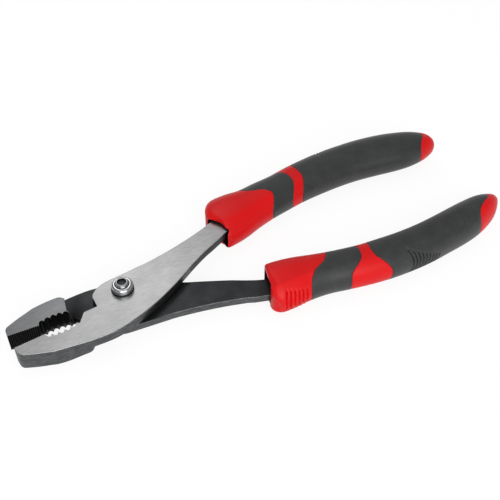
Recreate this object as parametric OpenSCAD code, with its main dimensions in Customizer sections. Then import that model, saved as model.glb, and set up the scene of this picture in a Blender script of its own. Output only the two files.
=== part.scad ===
// Slip joint pliers with two-colour moulded grips, lying flat with the jaws a little open.
// The pivot's axis is Z, the jaws point to -X and the handles to +X.
// Both levers are one forging: the front lever is the rear one turned over.
// In a lever's own frame the jaw line is y = 0, and the handle lies on the side of -y.
// The tool's pivot stands above the rear lever's jaw line and below the front lever's.

/* [Levers] */
// Length of the jaws, from the pivot to the tip
jaw_len = 46; // [38:1:56]
// Length of the necks, from the pivot to the front of the grips
neck_len = 46; // [40:1:60]
// Thickness of the two levers together
head_t = 8.2; // [7:0.1:10]
// Height of the jaw's back over the jaw line, at its highest
back_h = 13; // [12:0.1:16]
// Drop of the lap's lower edge below the jaw line
lap_drop = 11.7; // [11.2:0.1:14]
// Distance of the pivot from the jaw line
pivot_rise = 4.5; // [3.8:0.1:5]
// Width of the tang where it goes into the grip
tang_w = 9; // [7:0.1:11]
// Length of the tang inside the grip
tang_len = 92; // [70:1:100]
// How much nearer the pivot the front lever's jaw pad ends than the rear lever's
front_pad_reach = 2.6; // [0:0.1:3]
// Angle between the jaws as the tool lies
rest_angle = 7.5; // [4:0.5:15]
// Turn of the tool's middle line from the X axis
middle_turn = 2.9; // [-5:0.1:5]

/* [Jaw teeth] */
// Pitch of the fine teeth near the tip
fine_pitch = 0.78; // [0.6:0.02:1.2]
// Depth of the fine teeth
fine_depth = 0.35; // [0.2:0.01:0.5]
// Distance from the pivot to the middle of the pipe grip
pipe_mid = 27; // [26:0.1:29]
// Radius of the arc that the pipe grip's teeth stand on
pipe_radius = 19; // [15:0.5:30]
// Height of that arc over the jaw line, at its middle
pipe_rise = 2.05; // [1.5:0.05:2.6]
// Pitch of the pipe grip's teeth
pipe_pitch = 2.4; // [2:0.05:2.6]
// Depth of the pipe grip's teeth
pipe_depth = 1.2; // [0.6:0.05:1.5]
// Number of grooves in the pipe grip
pipe_grooves = 6; // [4:1:6]

/* [Pivot] */
// Diameter of the bolt's double-flatted shank
shank_d = 8; // [7.4:0.1:8.6]
// Distance across the shank's flats
shank_flats = 5.1; // [5.05:0.05:5.6]
// Diameter of the bolt's threaded end
thread_d = 5; // [4:0.1:5]
// Diameter of the bolt's head
bolt_head_d = 12; // [10:0.1:14]
// Height of the bolt's head
bolt_head_h = 2.2; // [1.6:0.1:3]
// How far the pivot slips to the wide setting
slip = 7; // [5.5:0.1:7.5]
// Opening past rest at which the flats line up with the slot
slip_angle = 15; // [10:1:17]
// How far the jaws can close from rest before the flats no longer pass
slip_margin = 3.5; // [1:0.5:5]
// Diameter of the nut
nut_d = 8.6; // [7:0.1:10]
// Height of the nut
nut_h = 2.4; // [1.8:0.05:3.2]
// How far the bolt's end stands out of the nut
stub_h = 1.1; // [0.4:0.1:2]
// Diameter of the washer
washer_d = 9.2; // [8.4:0.1:11]
// Thickness of the washer
washer_t = 0.35; // [0.3:0.05:0.8]

/* [Grips] */
// Length of a grip
grip_len = 119.7; // [110:1:140]
// Width of a grip at its middle
grip_w = 19.5; // [18:0.5:24]
// Thickness of a grip at its middle
grip_t = 15; // [14:0.5:18]
// Drop of the handles' middle line below the jaw line, at its lowest
handle_drop = 23; // [20:0.5:26]
// Length of the rounded rim at a grip's mouth
mouth_round = 3; // [1:0.2:4]
// Wall of the soft black sleeves over the red core
sleeve_wall = 1.8; // [1.2:0.1:2.2]

/* [Fits] */
// Gap between faces that slide on each other
running_gap = 0.1; // [0.06:0.01:0.2]
// Radial clearance of the shank in the slot
slot_gap = 0.05; // [0.03:0.01:0.1]
// Clearance of parts that are pressed or screwed together
seat_gap = 0.02; // [0.01:0.01:0.05]
// Clearance of the tang in its socket
tang_gap = 0.1; // [0.05:0.05:0.3]
// Width of the open pocket round the tang at the grip's mouth
mouth_gap = 1.2; // [0.6:0.1:1.6]

/* [Hidden] */
$fn = 64;

half_t = head_t / 2;
lap_face = running_gap / 2;
rear_turn = middle_turn - rest_angle / 2;
front_turn = middle_turn + rest_angle / 2;
cut_over = head_t;
curve_steps = 4;
ring_points = 24;
section_power = 2.3;
nut_chamfer = nut_d / 18;
nut_z = half_t + washer_t + 2 * lap_face + lap_face;
stub_top = nut_z + nut_h + stub_h;

// Jaw back, from the tip to the neck: shares of jaw_len or neck_len, and of back_h
tip_back_shares = [[-1, 0.22], [-0.993, 0.30], [-0.978, 0.357], [-0.937, 0.435], [-0.87, 0.55],
    [-0.80, 0.65], [-0.74, 0.735], [-0.65, 0.80]];
head_back_shares = [[-0.52, 0.895], [-0.41, 0.96], [-0.27, 1], [-0.16, 0.97],
    [-0.04, 0.885], [0.07, 0.785], [0.19, 0.645], [0.30, 0.49]];
// Top edge of each lever's neck, from the head to the tang: shares of neck_len and back_h
rear_neck_shares = [[0.42, 0.29], [0.53, 0.09], [0.65, -0.075], [0.80, -0.285], [0.90, -0.43]];
front_neck_shares = [[0.42, 0.304], [0.53, 0.11], [0.65, -0.105], [0.80, -0.345], [0.90, -0.47]];
// Rounded corner of the jaw pad beside the head, and its shoulder down to the teeth
pad_corner_shares = [[-0.60, 0.825], [-0.537, 0.842], [-0.504, 0.82], [-0.474, 0.725]];
pad_shoulder_share = [-0.493, 0.226];
// Notch in front of the lap, and the lap's lower edge: shares of jaw_len or neck_len, and of lap_drop
notch_shares = [[-0.383, 0.142], [-0.263, 0.142], [-0.259, 0.583], [-0.241, 0.70]];
lap_edge_shares = [[-0.20, 0.84], [-0.124, 0.95], [-0.052, 0.983], [0.02, 0.99], [0.174, 1.01],
    [0.326, 1.03], [0.435, 1.075], [0.543, 1.13], [0.652, 1.2], [0.76, 1.28], [0.87, 1.38], [0.94, 1.445]];
// Tang: share of its length, of handle_drop for its middle line, and of tang_w
tang_shares = [[0, 0.561, 1.13], [0.07, 0.654, 1.01], [0.2, 0.787, 0.9], [0.37, 0.865, 0.72],
    [0.54, 0.948, 0.78], [0.72, 0.965, 0.73], [0.89, 0.904, 0.69], [1, 0.817, 0.62]];
// Share of the tang's length that the pocket at the mouth reaches
pocket_share = 0.045;

// Grip sections: share of grip_len, then of handle_drop, grip_w and grip_t
upper_section_shares = [[0, 0.765, 1.12, 0.92], [0.03, 0.80, 1.20, 0.99], [0.079, 0.83, 1.22, 1.04],
    [0.129, 0.85, 1.15, 1.03], [0.178, 0.867, 1.02, 0.99], [0.247, 0.913, 0.96, 0.96],
    [0.317, 0.939, 0.915, 0.96], [0.396, 0.983, 0.93, 0.97], [0.475, 0.996, 0.95, 0.99],
    [0.554, 0.989, 0.97, 1], [0.633, 0.952, 0.99, 1], [0.712, 0.887, 1.035, 1], [0.791, 0.796, 1.05, 0.99],
    [0.851, 0.722, 1, 0.95], [0.91, 0.657, 0.85, 0.87], [0.95, 0.613, 0.66, 0.74],
    [0.98, 0.58, 0.43, 0.54], [1, 0.56, 0.09, 0.12]];
lower_section_shares = [[0, 0.73, 1.03, 0.92], [0.03, 0.733, 1.08, 0.99], [0.079, 0.735, 1.11, 1.04],
    [0.129, 0.735, 1.08, 1.03], [0.178, 0.739, 0.995, 0.99], [0.247, 0.787, 0.90, 0.96],
    [0.317, 0.852, 0.885, 0.96], [0.396, 0.909, 0.885, 0.97], [0.475, 0.933, 0.895, 0.99],
    [0.554, 0.935, 0.88, 1], [0.633, 0.907, 0.87, 1], [0.712, 0.848, 0.855, 1], [0.791, 0.778, 0.855, 0.99],
    [0.851, 0.713, 0.82, 0.95], [0.91, 0.635, 0.70, 0.87], [0.95, 0.585, 0.52, 0.73],
    [0.98, 0.535, 0.29, 0.5], [1, 0.5, 0.07, 0.12]];
// Edges of the colours, each a share of grip_len by the place across, from -1 outside to 1 inside
upper_edge_shares = [
    [[-1, 0.055], [-0.75, 0.028], [-0.5, 0.013], [-0.25, 0.01], [0, 0.018], [0.3, 0.033], [0.6, 0.038],
        [0.8, 0.033], [0.9, 0.032], [1, 0.045]],
    [[-1, 0.174], [-0.5, 0.186], [-0.25, 0.208], [0, 0.244], [0.38, 0.267], [0.7, 0.259], [1, 0.24]],
    [[-1, 0.326], [-0.75, 0.341], [-0.5, 0.358], [-0.15, 0.367], [0.3, 0.367], [0.6, 0.359], [1, 0.336]],
    [[-1, 0.425], [-0.64, 0.413], [-0.1, 0.411], [0.3, 0.41], [0.6, 0.402], [1, 0.382]],
    [[-1, 0.925], [-0.5, 0.952], [0, 0.95], [0.38, 0.928], [0.7, 0.91], [1, 0.898]],
    [[-1, 1], [1, 1]]];
lower_edge_shares = [
    [[-1, 0.06], [-0.85, 0.042], [-0.46, 0.044], [-0.29, 0.05], [0.06, 0.054], [0.46, 0.058],
        [0.8, 0.062], [1, 0.075]],
    [[-1, 0.171], [-0.75, 0.179], [-0.5, 0.194], [-0.25, 0.215], [0, 0.245], [0.4, 0.269], [1, 0.287]],
    [[-1, 0.314], [-0.85, 0.318], [-0.7, 0.33], [-0.45, 0.355], [-0.2, 0.371], [0.2, 0.381], [1, 0.391]],
    [[-1, 0.461], [-0.85, 0.45], [-0.6, 0.433], [-0.36, 0.42], [0, 0.417], [0.66, 0.426], [1, 0.431]],
    [[-1, 0.853], [-0.6, 0.863], [-0.35, 0.876], [-0.15, 0.903], [0.05, 0.935], [0.4, 0.95], [1, 0.956]],
    [[-1, 1], [1, 1]]];

// Smooth curve through the points of a list
function spline_point(a, b, c, d, u) =
    b + (c - a) * u / 2 + (a - 2.5 * b + 2 * c - d / 2) * u * u + (1.5 * (b - c) + (d - a) / 2) * u * u * u;
function spline(p) = [
    for (i = [0 : len(p) - 2], k = [0 : curve_steps - 1])
        spline_point(p[max(i - 1, 0)], p[i], p[i + 1], p[min(i + 2, len(p) - 1)], k / curve_steps),
    p[len(p) - 1]
];
function backwards(p) = [for (i = [len(p) - 1 : -1 : 0]) p[i]];

// A place in a lever's frame from its shares along and across
function lever_point(p, height) = [p[0] * (p[0] < 0 ? jaw_len : neck_len), p[1] * height];
function lever_points(shares, height) = [for (p = shares) lever_point(p, height)];

// One side of the tang, side = 1 towards the other handle, from a share of its length to another
function tang_point(row, side, extra) = [
    neck_len + tang_len * row[0],
    -handle_drop * row[1] + side * (tang_w / 2 * row[2] + extra)
];
function tang_side(side, extra) = spline([for (row = tang_shares) tang_point(row, side, extra)]);
function tang_mouth_row(s) = [s, lookup(s, [for (r = tang_shares) [r[0], r[1]]]),
    lookup(s, [for (r = tang_shares) [r[0], r[2]]])];

// Teeth along the jaw line, from the tip to the pipe grip, and round the pipe grip
pipe_start = -pipe_mid - pipe_pitch * pipe_grooves / 2;
fine_teeth = floor((jaw_len + pipe_start) / fine_pitch);
function fine_line() = [
    for (i = [0 : fine_teeth - 1]) each [
        [-jaw_len + i * fine_pitch, lap_face],
        [-jaw_len + (i + 0.5) * fine_pitch, lap_face + fine_depth]
    ],
    [-jaw_len + fine_teeth * fine_pitch, lap_face],
    [pipe_start, lap_face]
];
function arc_height(x) = pipe_rise - pipe_radius + sqrt(pipe_radius * pipe_radius - pow(x + pipe_mid, 2));
// Depth of a pipe groove at its edge, half way down its side and at its bottom: shares of pipe_depth
groove_shares = [0, 0.72, 1, 0.72];
function pipe_line(half_pitches) = [
    for (i = [1 : 2 * half_pitches])
        let (x = pipe_start + i * pipe_pitch / 4)
            [x, arc_height(x) + pipe_depth * groove_shares[i % 4]]
];

// Outline of the whole forging, half as thick as the tool
function blank_outline(neck_shares) = concat(
    fine_line(),
    pipe_line(2 * pipe_grooves - 1),
    lever_points([for (p = notch_shares) [p[0], -p[1]]], lap_drop),
    spline(lever_points([for (p = lap_edge_shares) [p[0], -p[1]]], lap_drop)),
    tang_side(-1, 0),
    backwards(tang_side(1, 0)),
    backwards(spline(lever_points(concat(tip_back_shares, head_back_shares, neck_shares), back_h)))
);

// Outline of the jaw pad, which is as thick as the tool; its end stands reach nearer the pivot
function pad_outline(reach) = concat(
    fine_line(),
    pipe_line(2 * pipe_grooves - 2),
    [lever_point(pad_shoulder_share, back_h) + [reach, 0]],
    backwards(spline(concat(
        lever_points(tip_back_shares, back_h),
        [for (p = lever_points(pad_corner_shares, back_h)) p + [reach, 0]])))
);

module lever_blank(reach, neck_shares) {
    translate([0, 0, -half_t]) linear_extrude(half_t - lap_face) polygon(blank_outline(neck_shares));
    translate([0, 0, -half_t]) linear_extrude(head_t) polygon(pad_outline(reach));
}

module rear_place() {
    rotate([0, 0, rear_turn]) translate([0, -pivot_rise, 0]) children();
}

module front_place() {
    rotate([0, 0, front_turn]) translate([0, -pivot_rise, 0]) rotate([180, 0, 0]) children();
}

// Shank with two flats, along Z, its flats lined up with the slot at slip_angle past rest
module flatted_shank(gap, bottom, height) {
    rotate([0, 0, -slip_angle]) translate([0, 0, bottom]) intersection() {
        cylinder(d = shank_d + 2 * gap, h = height);
        translate([-shank_flats / 2 - gap, -shank_d, 0])
            cube([shank_flats + 2 * gap, 2 * shank_d, height]);
    }
}

// Figure-eight slot: two round seats and a waist that only the flats can pass
waist_w = shank_d * sin(asin(shank_flats / shank_d) + slip_angle + slip_margin);
module slip_slot() {
    translate([0, 0, -cut_over]) {
        cylinder(d = shank_d + 2 * slot_gap, h = 2 * cut_over);
        translate([0, -slip, 0]) cylinder(d = shank_d + 2 * slot_gap, h = 2 * cut_over);
        translate([-waist_w / 2, -slip, 0]) cube([waist_w, slip, 2 * cut_over]);
    }
}

module rear_lever() {
    color("#4a4c4e") difference() {
        rear_place() lever_blank(0, rear_neck_shares);
        slip_slot();
    }
}

module front_lever() {
    color("#b4b5b6") difference() {
        front_place() lever_blank(front_pad_reach, front_neck_shares);
        flatted_shank(seat_gap, -cut_over, 2 * cut_over);
    }
}

// Bolt: domed head on the back, flatted shank, threaded end with a dimple
seat_z = -half_t - lap_face;
head_rim = bolt_head_h / 4;
dome_h = bolt_head_h - head_rim;
dome_r = (bolt_head_d * bolt_head_d / 4 + dome_h * dome_h) / (2 * dome_h);
module pivot_bolt() {
    color("#c9cacc") {
        intersection() {
            translate([0, 0, seat_z - bolt_head_h]) cylinder(d = bolt_head_d, h = bolt_head_h);
            translate([0, 0, seat_z - bolt_head_h + dome_r]) sphere(r = dome_r, $fn = 96);
        }
        flatted_shank(0, seat_z, half_t - seat_z);
        difference() {
            rotate_extrude() polygon([
                [0, half_t], [thread_d / 2, half_t],
                [thread_d / 2, stub_top - stub_h / 2], [thread_d / 2 - stub_h / 2, stub_top], [0, stub_top]
            ]);
            translate([0, 0, stub_top]) sphere(d = thread_d / 4, $fn = 24);
        }
    }
}

// Round nut with a chamfered rim and a countersink round the bolt's end
module pivot_nut() {
    bore_r = thread_d / 2 + seat_gap;
    color("#d3d4d6") rotate_extrude() polygon([
        [bore_r, nut_z],
        [nut_d / 2 - nut_chamfer / 2, nut_z],
        [nut_d / 2, nut_z + nut_chamfer / 2],
        [nut_d / 2, nut_z + nut_h - nut_chamfer],
        [nut_d / 2 - nut_chamfer, nut_z + nut_h],
        [bore_r + nut_chamfer, nut_z + nut_h],
        [bore_r, nut_z + nut_h - nut_chamfer]
    ]);
}

module nut_washer() {
    color("#3d3f41") translate([0, 0, half_t + lap_face]) difference() {
        cylinder(d = washer_d, h = washer_t);
        translate([0, 0, -washer_t]) cylinder(d = thread_d + 2 * slot_gap, h = 3 * washer_t);
    }
}

// Row of a section table at a share of the grip's length, on a smooth curve through the rows
function slope(t, i) = i == 0 ? (t[1] - t[0]) / (t[1][0] - t[0][0])
    : i == len(t) - 1 ? (t[i] - t[i - 1]) / (t[i][0] - t[i - 1][0])
    : (t[i + 1] - t[i - 1]) / (t[i + 1][0] - t[i - 1][0]);
function row_index(t, s) = max([0, for (k = [0 : len(t) - 2]) if (t[k][0] <= s) k]);
function row_at(t, s) =
    let (i = row_index(t, s), w = t[i + 1][0] - t[i][0], u = (s - t[i][0]) / w)
        t[i] * (1 - u * u * (3 - 2 * u)) + t[i + 1] * u * u * (3 - 2 * u)
        + slope(t, i) * w * u * (1 - u) * (1 - u) - slope(t, i + 1) * w * u * u * (1 - u);

// Point on a grip: a is the angle round the section, inset the depth below the skin
function bulge(c) = sign(c) * pow(abs(c), 2 / section_power);
function grip_point(sections, s, a, inset) =
    let (row = row_at(sections, s)) [
        neck_len + grip_len * s,
        -handle_drop * row[1] + (grip_w / 2 * row[2] - inset) * bulge(cos(a)),
        (grip_t / 2 * row[3] - inset) * bulge(sin(a))
    ];

// Ring of a grip, a share u of the way from one colour edge to the next, shifted along the grip
function grip_ring(sections, edge_a, edge_b, u, inset, shift = 0) = [
    for (k = [0 : ring_points - 1])
        let (a = 360 * k / ring_points, v = bulge(cos(a)))
            grip_point(sections,
                lookup(v, edge_a) * (1 - u) + lookup(v, edge_b) * u + shift / grip_len, a, inset)
];
function grip_rings(sections, edges, zone, steps, inset) =
    [for (k = [0 : steps]) grip_ring(sections, edges[zone], edges[zone + 1], k / steps, inset)];

// Collar: a rounded rim at the mouth, then full size
function collar_rings(sections, edges) = concat(
    [for (a = [0 : 90 / rim_steps : 89])
        grip_ring(sections, edges[0], edges[1], 0, rim_depth * (1 - sin(a)), mouth_round * (1 - cos(a)))],
    [for (k = [0 : collar_steps])
        let (u = k / collar_steps) grip_ring(sections, edges[0], edges[1], u, 0, mouth_round * (1 - u))]);

// Triangles between rings number a and b, and across an end ring
function strip(a, b, outward) = [
    for (k = [0 : ring_points - 1])
        let (n = (k + 1) % ring_points, p = a * ring_points, q = b * ring_points)
            each outward ? [[p + k, q + n, p + n], [p + k, q + k, q + n]]
                : [[p + k, p + n, q + n], [p + k, q + n, q + k]]
];
function end_face(r, forward) = [
    for (k = [0 : ring_points / 2 - 1])
        let (p = r * ring_points, i = p + k, j = p + k + 1,
            m = p + (ring_points - k) % ring_points, n = p + ring_points - k - 1)
            each k == 0 ? [forward ? [i, n, j] : [i, j, n]]
                : k == ring_points / 2 - 1 ? [forward ? [i, m, j] : [i, j, m]]
                : forward ? [[i, m, n], [i, n, j]] : [[i, n, m], [i, j, n]]
];
function joined(rings) = [for (r = rings) each r];

collar_steps = 6;
rim_steps = 3;
rim_depth = mouth_round * 0.6;
front_steps = 4;
band_steps = 2;
main_steps = 12;
cap_steps = 6;

// Red core: full size at collar, band and cap, and drawn in under the black sleeves
module grip_core(sections, edges) {
    rings = concat(
        collar_rings(sections, edges),
        grip_rings(sections, edges, 1, front_steps, sleeve_wall),
        grip_rings(sections, edges, 2, band_steps, 0),
        grip_rings(sections, edges, 3, main_steps, sleeve_wall),
        grip_rings(sections, edges, 4, cap_steps, 0));
    last = len(rings) - 1;
    difference() {
        polyhedron(joined(rings), concat(
            end_face(0, true),
            [for (k = [0 : last - 1]) each strip(k, k + 1, true)],
            end_face(last, false)));
        tang_socket();
        mouth_pocket();
    }
}

// Black sleeve that fills one drawn-in zone of the core
module grip_sleeve(sections, edges, zone, steps) {
    rings = concat(
        grip_rings(sections, edges, zone, steps, 0),
        grip_rings(sections, edges, zone, steps, sleeve_wall));
    inner = steps + 1;
    last = inner + steps;
    polyhedron(joined(rings), concat(
        [for (k = [0 : steps - 1]) each strip(k, k + 1, true)],
        [for (k = [inner : last - 1]) each strip(k, k + 1, false)],
        strip(0, inner, false),
        strip(last, steps, false)));
}

module tang_socket() {
    translate([0, 0, -half_t - tang_gap]) linear_extrude(half_t - lap_face + 2 * tang_gap)
        polygon(concat(
            [tang_point(tang_shares[0], -1, tang_gap) - [tang_w, 0]],
            tang_side(-1, tang_gap),
            [tang_side(-1, tang_gap)[len(tang_side(-1, 0)) - 1] + [tang_gap, 0]],
            [tang_side(1, tang_gap)[len(tang_side(1, 0)) - 1] + [tang_gap, 0]],
            backwards(tang_side(1, tang_gap)),
            [tang_point(tang_shares[0], 1, tang_gap) - [tang_w, 0]]));
}

module mouth_pocket() {
    front = tang_mouth_row(0);
    back = tang_mouth_row(pocket_share);
    translate([0, 0, -half_t - mouth_gap]) linear_extrude(head_t + 2 * mouth_gap)
        polygon([
            tang_point(front, -1, mouth_gap) - [tang_w, 0],
            tang_point(front, -1, mouth_gap),
            tang_point(back, -1, mouth_gap),
            tang_point(back, 1, mouth_gap),
            tang_point(front, 1, mouth_gap),
            tang_point(front, 1, mouth_gap) - [tang_w, 0]
        ]);
}

module upper_grip_core() {
    color("#d52326") front_place() grip_core(upper_section_shares, upper_edge_shares);
}

module upper_grip_front_overmould() {
    color("#3e4040") front_place() grip_sleeve(upper_section_shares, upper_edge_shares, 1, front_steps);
}

module upper_grip_main_overmould() {
    color("#3e4040") front_place() grip_sleeve(upper_section_shares, upper_edge_shares, 3, main_steps);
}

module lower_grip_core() {
    color("#d52326") rear_place() grip_core(lower_section_shares, lower_edge_shares);
}

module lower_grip_front_overmould() {
    color("#3e4040") rear_place() grip_sleeve(lower_section_shares, lower_edge_shares, 1, front_steps);
}

module lower_grip_main_overmould() {
    color("#3e4040") rear_place() grip_sleeve(lower_section_shares, lower_edge_shares, 3, main_steps);
}

rear_lever();
front_lever();
pivot_bolt();
pivot_nut();
nut_washer();
upper_grip_core();
upper_grip_front_overmould();
upper_grip_main_overmould();
lower_grip_core();
lower_grip_front_overmould();
lower_grip_main_overmould();
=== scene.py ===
"""Slip joint pliers: two forged levers, a flatted pivot bolt with its round nut and washer,
and two grips with a red core and soft black sleeves. Lengths in the tables are in millimetres."""
import math

import bmesh
import bpy
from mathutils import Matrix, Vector
from mathutils.geometry import delaunay_2d_cdt


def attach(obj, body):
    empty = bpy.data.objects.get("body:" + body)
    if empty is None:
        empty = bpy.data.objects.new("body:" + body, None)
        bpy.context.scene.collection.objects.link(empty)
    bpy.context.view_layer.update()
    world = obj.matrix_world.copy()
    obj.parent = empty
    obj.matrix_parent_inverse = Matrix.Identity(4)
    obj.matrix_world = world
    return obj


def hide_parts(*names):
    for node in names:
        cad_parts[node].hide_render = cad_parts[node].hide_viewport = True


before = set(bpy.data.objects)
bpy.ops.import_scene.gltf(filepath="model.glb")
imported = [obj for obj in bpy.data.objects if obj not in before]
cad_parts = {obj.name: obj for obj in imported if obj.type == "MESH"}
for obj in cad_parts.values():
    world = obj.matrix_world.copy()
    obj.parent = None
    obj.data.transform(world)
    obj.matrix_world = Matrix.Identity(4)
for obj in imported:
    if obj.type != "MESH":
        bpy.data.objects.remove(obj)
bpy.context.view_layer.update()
MM = 0.001

# Levers, in a lever's own frame: the jaw line is y = 0 and the handle lies on the side of -y
JAW_LEN, NECK_LEN, HALF_T, BACK_H, LAP_DROP = 46.0, 46.0, 4.1, 13.0, 11.7
PIVOT_RISE, TANG_W, TANG_LEN, HANDLE_DROP = 4.5, 9.0, 92.0, 23.0
# Each lap's face stands this far from the tool's middle plane
LAP_FACE = 0.05
REAR_TURN, FRONT_TURN = math.radians(-0.85), math.radians(6.65)
# The front lever's pad ends this much nearer the pivot than the rear lever's
FRONT_PAD_REACH = 2.6
FINE_PITCH, FINE_DEPTH = 0.78, 0.35
PIPE_MID, PIPE_RADIUS, PIPE_RISE = 27.0, 19.0, 2.05
PIPE_PITCH, PIPE_DEPTH, PIPE_GROOVES = 2.4, 1.2, 6
# Depth of a rounded groove at each quarter of its pitch
GROOVE_FORM = (0, 0.72, 1, 0.72)
# Edge roundings of a lever's low face, its lap and its pad: small where a flat is ground
REAR_ROUNDINGS, FRONT_ROUNDINGS = (1.35, 0.45, 0.35), (0.35, 1.2, 0.7)
# Rounding at the teeth, at the thin edge of the lap's head, and at the tang's end
TOOTH_ROUNDING, HEAD_ROUNDING, TANG_END_ROUNDING = 0.07, 0.1, 0.25
# Where the jaw ends
JAW_ROOT = -11.0

# Pivot
SHANK_D, SHANK_FLATS, THREAD_D, SLIP, SLIP_ANGLE = 8.0, 5.1, 5.0, 7.0, math.radians(15)
# The flats still pass the slot's waist when turned this far to either side
WAIST_PLAY = math.radians(3.5)
HEAD_D, HEAD_H, NUT_D, NUT_H, STUB_H = 12.0, 2.2, 8.6, 2.4, 1.1
THREAD_PITCH, THREAD_DEPTH, THREAD_TURNS = 0.5, 0.2, 2
WASHER_D, WASHER_T = 9.2, 0.35
NUT_Z = HALF_T + WASHER_T + 3 * LAP_FACE
STUB_TOP = NUT_Z + NUT_H + STUB_H
# Radius of the cup punched in the bolt's end
CUP = 1.75

# Grips
GRIP_LEN, GRIP_W, GRIP_T, SLEEVE_WALL = 119.7, 19.5, 15.0, 1.8
RING_POINTS = 128
SECTION_POWER = 2.3
# Ridge on the viewer's side: its place across, the dip up to it, and the form of the slope past it
RIDGE, RIDGE_DIP, SLOPE_POWER, SLOPE_ROOT = 0.45, 0.04, 1.06, 1.9
# Share by which the ridge fades along the body, and the mouth's rim towards the inner side
FADED = 0.62
# Rounded edges at the seams between the colours, and at the mouth
SEAM, RIM_LONG, RIM_DEEP = 0.32, 4.2, 2.3
# Room round the tang in a grip's mouth: inner side, outer side, height; and its corners
POCKET_INNER, POCKET_OUTER, POCKET_HIGH, POCKET_CORNER = 1.2, 1.8, 1.1, 2.0
# The lower grip's pocket opens wider on the inner side
LOWER_POCKET_WIDER = 1.4

# Outlines, from the jaw's tip at -1 past the pivot at 0 to the neck's end at 1: shares of the
# jaw's or neck's length, and of the back's height or, for notch and lap, of the lap's drop
TIP_BACK = [[-1, 0.22], [-0.993, 0.30], [-0.978, 0.357], [-0.937, 0.435], [-0.87, 0.55],
            [-0.80, 0.65], [-0.74, 0.735], [-0.65, 0.80]]
HEAD_BACK = [[-0.52, 0.895], [-0.41, 0.96], [-0.27, 1], [-0.16, 0.97], [-0.04, 0.885],
             [0.07, 0.785], [0.19, 0.645], [0.30, 0.49]]
REAR_NECK = [[0.42, 0.29], [0.53, 0.09], [0.65, -0.075], [0.80, -0.285], [0.90, -0.43]]
FRONT_NECK = [[0.42, 0.304], [0.53, 0.11], [0.65, -0.105], [0.80, -0.345], [0.90, -0.47]]
PAD_CORNER = [[-0.60, 0.825], [-0.537, 0.842], [-0.504, 0.82], [-0.474, 0.725]]
PAD_SHOULDER = [-0.493, 0.226]
NOTCH = [[-0.383, 0.142], [-0.263, 0.142], [-0.259, 0.583], [-0.241, 0.70]]
LAP_EDGE = [[-0.20, 0.84], [-0.124, 0.95], [-0.052, 0.983], [0.02, 0.99], [0.174, 1.01],
            [0.326, 1.03], [0.435, 1.075], [0.543, 1.13], [0.652, 1.2], [0.76, 1.28], [0.87, 1.38],
            [0.94, 1.445]]
# Shares along the tang, of the handle's drop, and of the tang's width
TANG = [[0, 0.561, 1.13], [0.07, 0.654, 1.01], [0.2, 0.787, 0.9], [0.37, 0.865, 0.72],
        [0.54, 0.948, 0.78], [0.72, 0.965, 0.73], [0.89, 0.904, 0.69], [1, 0.817, 0.62]]

# Shares along the grip, of the handle's drop, of the grip's width, and of its thickness
UPPER_SECTIONS = [
    [0, 0.765, 1.12, 0.92], [0.03, 0.80, 1.20, 0.99], [0.079, 0.83, 1.22, 1.04],
    [0.129, 0.85, 1.15, 1.03], [0.178, 0.867, 1.02, 0.99], [0.247, 0.913, 0.96, 0.96],
    [0.317, 0.939, 0.915, 0.96], [0.396, 0.983, 0.93, 0.97], [0.475, 0.996, 0.95, 0.99],
    [0.554, 0.989, 0.97, 1], [0.633, 0.952, 0.99, 1], [0.712, 0.887, 1.035, 1],
    [0.791, 0.796, 1.05, 0.99], [0.851, 0.722, 1, 0.95], [0.91, 0.657, 0.85, 0.87],
    [0.95, 0.613, 0.66, 0.74], [0.98, 0.58, 0.43, 0.54], [1, 0.56, 0.09, 0.12]]
LOWER_SECTIONS = [
    [0, 0.73, 1.03, 0.92], [0.03, 0.733, 1.08, 0.99], [0.079, 0.735, 1.11, 1.04],
    [0.129, 0.735, 1.08, 1.03], [0.178, 0.739, 0.995, 0.99], [0.247, 0.787, 0.90, 0.96],
    [0.317, 0.852, 0.885, 0.96], [0.396, 0.909, 0.885, 0.97], [0.475, 0.933, 0.895, 0.99],
    [0.554, 0.935, 0.88, 1], [0.633, 0.907, 0.87, 1], [0.712, 0.848, 0.855, 1],
    [0.791, 0.778, 0.855, 0.99], [0.851, 0.713, 0.82, 0.95], [0.91, 0.635, 0.70, 0.87],
    [0.95, 0.585, 0.52, 0.73], [0.98, 0.535, 0.29, 0.5], [1, 0.5, 0.07, 0.12]]
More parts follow.
